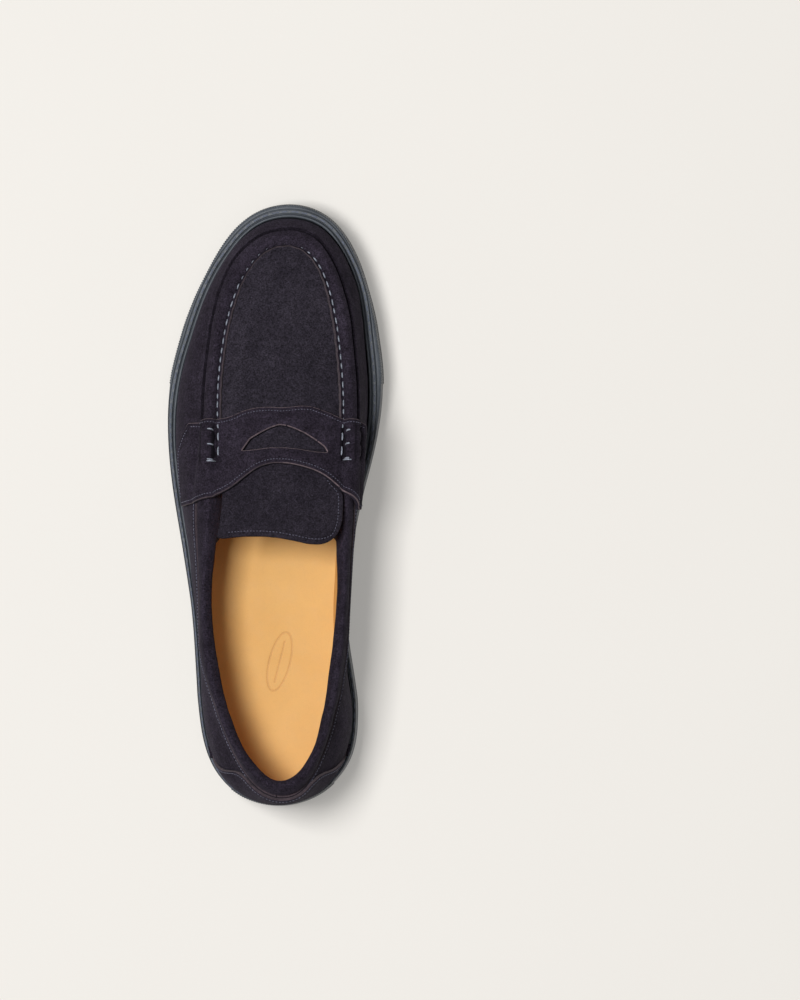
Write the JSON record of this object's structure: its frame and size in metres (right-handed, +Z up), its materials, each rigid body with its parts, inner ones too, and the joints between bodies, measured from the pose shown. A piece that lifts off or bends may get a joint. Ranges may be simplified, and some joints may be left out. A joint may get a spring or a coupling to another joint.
{
  "type": "penny loafer",
  "caption": "Left-foot penny loafer: suede moccasin upper with a slotted saddle strap, padded collar, leather footbed and a stitched rubber cupsole.",
  "frame": {"origin": "centre of the shoe's footprint, at ground level", "axes": "+Y towards the toe, +X towards the medial side, +Z up"},
  "size_m": [0.1068, 0.3004, 0.0899],
  "materials": {
    "sole_rubber": "moulded, low sheen",
    "sole_thread": "waxed thread",
    "foam": "open foam",
    "fibreboard": "pressed fibreboard",
    "footbed_leather": "smooth natural tan",
    "suede": "fine nap suede, navy",
    "lining_leather": "smooth natural tan",
    "stiffener": "matt thermoplastic sheet",
    "heavy_thread": "waxed thread",
    "fine_thread": "waxed thread"
  },
  "bodies": {
    "shoe": {"cupsole": "sole_rubber", "sole_stitch_thread": "sole_thread", "midsole_filler": "foam", "insole_board": "fibreboard", "footbed_foam": "foam", "sock_liner": "footbed_leather", "vamp": "suede", "quarter_lateral": "suede", "quarter_medial": "suede", "apron": "suede", "apron_stitch_thread": "heavy_thread", "vamp_lining": "lining_leather", "quarter_lining_lateral": "lining_leather", "quarter_lining_medial": "lining_leather", "toe_puff": "stiffener", "heel_counter": "stiffener", "collar_band": "suede", "collar_foam": "foam", "collar_stitch_thread": "fine_thread", "heel_patch": "suede", "saddle_strap": "suede", "strap_front_stitch": "fine_thread", "strap_back_stitch": "fine_thread", "lashing_lateral": "heavy_thread", "lashing_medial": "heavy_thread", "tongue_root": "suede"},
    "tongue": {"tongue_flap": "suede", "tongue_lining": "lining_leather", "tongue_stitch_thread": "fine_thread"}
  },
  "joints": [
    {"name": "tongue_lift", "type": "hinge", "parent": "shoe", "child": "tongue", "pos_m": [0.0045, 0.00397, 0.0844], "axis": [-1, 0, 0], "range_deg": [0, 30], "stiffness_Nm_per_rad": 0.05}
  ]
}
